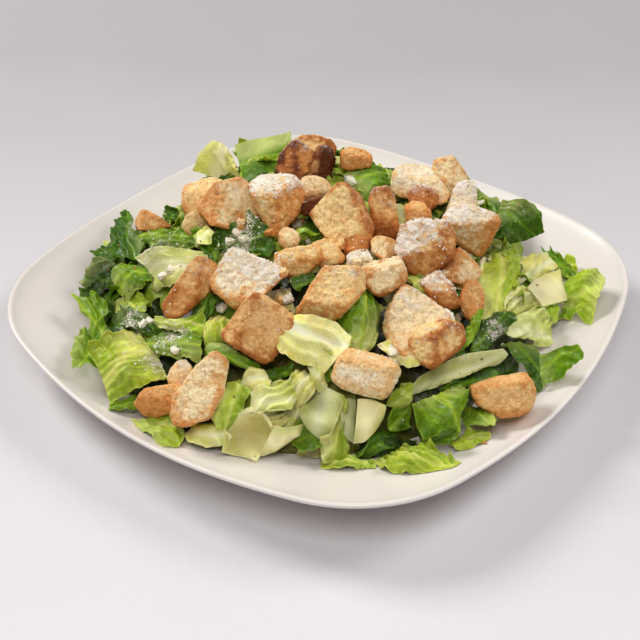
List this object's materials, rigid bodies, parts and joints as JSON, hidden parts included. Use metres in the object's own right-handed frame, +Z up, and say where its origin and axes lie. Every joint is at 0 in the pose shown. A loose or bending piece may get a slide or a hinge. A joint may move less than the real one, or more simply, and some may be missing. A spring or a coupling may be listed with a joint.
{
  "type": "caesar salad",
  "caption": "Caesar salad: chopped romaine heaped on a rounded-square white plate, with toasted bread croutons and grated parmesan.",
  "frame": {"origin": "middle of the plate, at the level its foot ring stands on", "axes": "+Z up; the plate's four shallow sides face +X, -X, +Y and -Y; the diner sits towards -Y and a little to +X, 36.8 degrees round from -Y"},
  "size_m": [0.2509, 0.25, 0.0752],
  "materials": {
    "glaze": "gloss",
    "romaine": "moist, with a thin dressing",
    "toast": "dry, open crumb",
    "cheese": "dry, crumbly"
  },
  "bodies": {
    "root": {"plate": "glaze", "lettuce": "romaine", "crouton_01": "toast", "crouton_02": "toast", "crouton_03": "toast", "crouton_04": "toast", "crouton_05": "toast", "crouton_06": "toast", "crouton_07": "toast", "crouton_08": "toast", "crouton_09": "toast", "crouton_10": "toast", "crouton_11": "toast", "crouton_12": "toast", "crouton_13": "toast", "crouton_14": "toast", "crouton_15": "toast", "crouton_16": "toast", "crouton_17": "toast", "crouton_18": "toast", "crouton_19": "toast", "crouton_20": "toast", "crouton_21": "toast", "crouton_22": "toast", "crouton_23": "toast", "crouton_24": "toast", "crouton_25": "toast", "crouton_26": "toast", "crouton_27": "toast", "crouton_28": "toast", "crouton_29": "toast", "crouton_30": "toast", "crouton_31": "toast", "crouton_32": "toast", "crouton_33": "toast", "crouton_34": "toast", "crouton_35": "toast", "crouton_36": "toast", "crouton_37": "toast", "crouton_38": "toast", "crouton_39": "toast", "crouton_40": "toast", "crouton_41": "toast", "parmesan_nugget": "cheese"}
  },
  "joints": []
}
